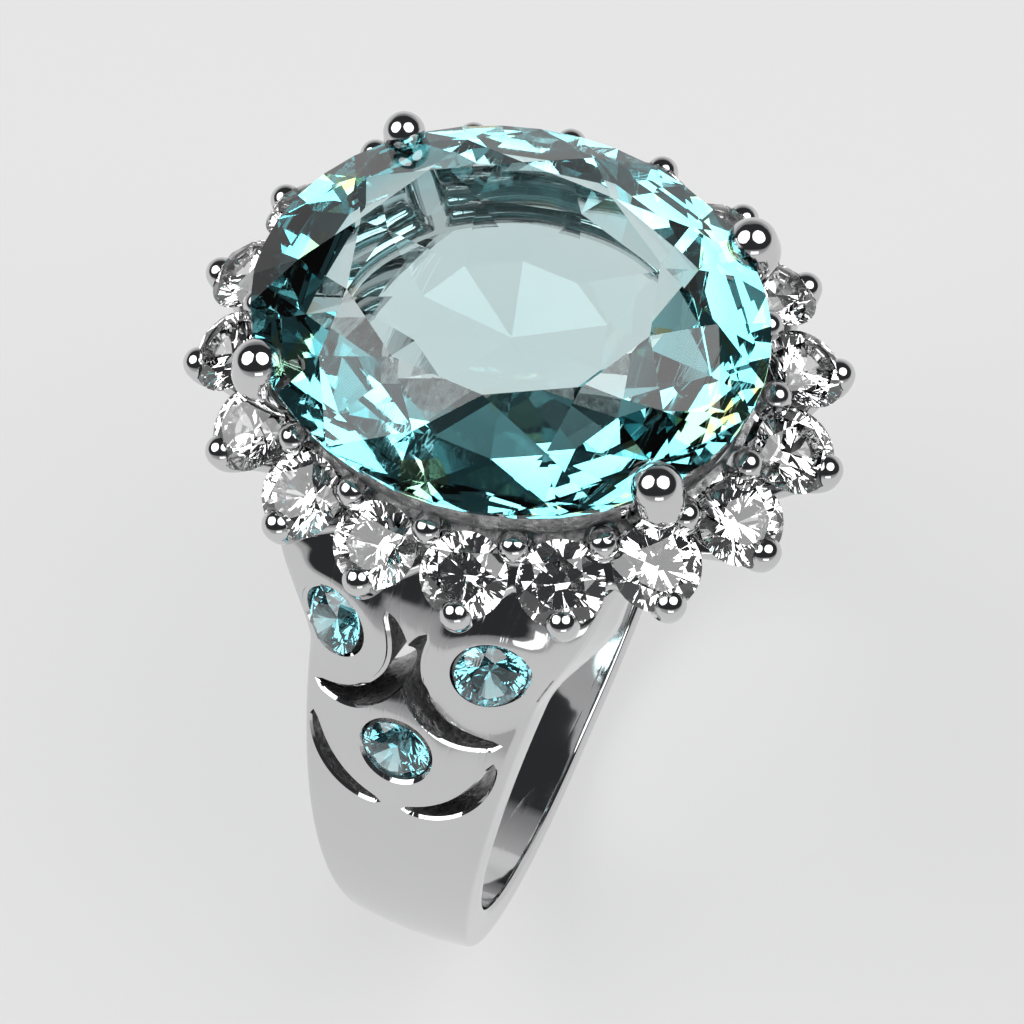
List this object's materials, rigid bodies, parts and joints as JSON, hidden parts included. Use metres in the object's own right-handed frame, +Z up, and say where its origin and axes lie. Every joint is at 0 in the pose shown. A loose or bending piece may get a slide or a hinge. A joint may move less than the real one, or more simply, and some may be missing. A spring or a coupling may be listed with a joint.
{
  "type": "cocktail ring",
  "caption": "Finger ring with a large oval centre stone in four claws, a sloping halo of small round stones, and pierced flaring shoulders set with small round stones.",
  "frame": {"origin": "centre of the finger hole, halfway along it", "axes": "+X along the finger and along the long axis of the oval stone; +Z up from the finger hole through the centre stone; +Y across the finger, so the band's circle lies in the YZ plane"},
  "size_m": [0.016, 0.0196, 0.0249],
  "materials": {
    "silver": "mirror polished, bright white rhodium-like plate",
    "blue_stone": "faceted, polished, clear pale greenish blue",
    "white_stone": "faceted, polished, colourless"
  },
  "bodies": {
    "root": {"centre_head": "silver", "centre_stone": "blue_stone", "halo_frame": "silver", "halo_stone_01": "white_stone", "halo_stone_02": "white_stone", "halo_stone_03": "white_stone", "halo_stone_04": "white_stone", "halo_stone_05": "white_stone", "halo_stone_06": "white_stone", "halo_stone_07": "white_stone", "halo_stone_08": "white_stone", "halo_stone_09": "white_stone", "halo_stone_10": "white_stone", "halo_stone_11": "white_stone", "halo_stone_12": "white_stone", "halo_stone_13": "white_stone", "halo_stone_14": "white_stone", "halo_stone_15": "white_stone", "halo_stone_16": "white_stone", "halo_stone_17": "white_stone", "halo_stone_18": "white_stone", "shank": "silver", "shoulder_stone_back_left": "blue_stone", "shoulder_stone_back_lower": "blue_stone", "shoulder_stone_back_right": "blue_stone", "shoulder_stone_front_left": "blue_stone", "shoulder_stone_front_lower": "blue_stone", "shoulder_stone_front_right": "blue_stone"}
  },
  "joints": []
}
